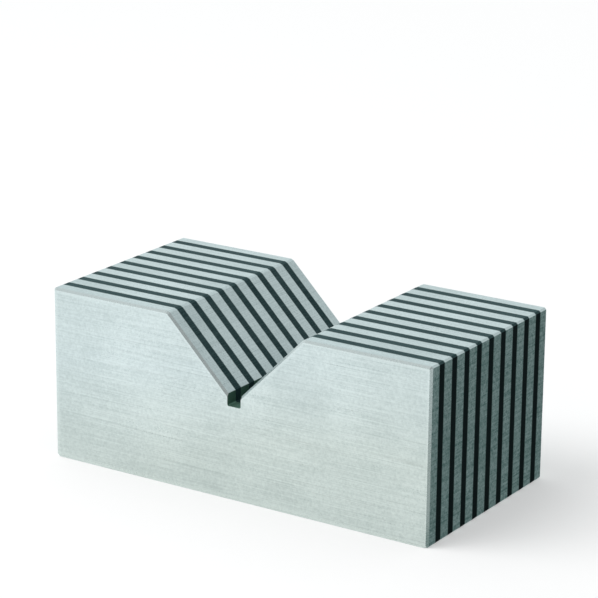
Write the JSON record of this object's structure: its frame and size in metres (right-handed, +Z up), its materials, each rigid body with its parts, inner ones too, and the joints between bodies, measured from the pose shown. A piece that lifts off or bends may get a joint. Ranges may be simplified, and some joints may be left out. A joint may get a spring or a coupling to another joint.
{
  "type": "magnetic chuck block",
  "caption": "Laminated magnetic chuck block: steel pole plates and non-magnetic separators in one ground stack, with a right-angled vee and a relief slot across the top.",
  "frame": {"origin": "centre of the ground base, in the plane that it rests on", "axes": "+X along the block across the vee, +Y through the stack from the front plate to the rear plate and along the vee, +Z up out of the base"},
  "size_m": [0.098, 0.05, 0.04],
  "materials": {
    "pole_steel": "surface ground",
    "separator": "ground flush, matt"
  },
  "bodies": {
    "root": {"pole_plate_01": "pole_steel", "pole_plate_02": "pole_steel", "pole_plate_03": "pole_steel", "pole_plate_04": "pole_steel", "pole_plate_05": "pole_steel", "pole_plate_06": "pole_steel", "pole_plate_07": "pole_steel", "pole_plate_08": "pole_steel", "pole_plate_09": "pole_steel", "pole_plate_10": "pole_steel", "separator_01": "separator", "separator_02": "separator", "separator_03": "separator", "separator_04": "separator", "separator_05": "separator", "separator_06": "separator", "separator_07": "separator", "separator_08": "separator", "separator_09": "separator"}
  },
  "joints": []
}
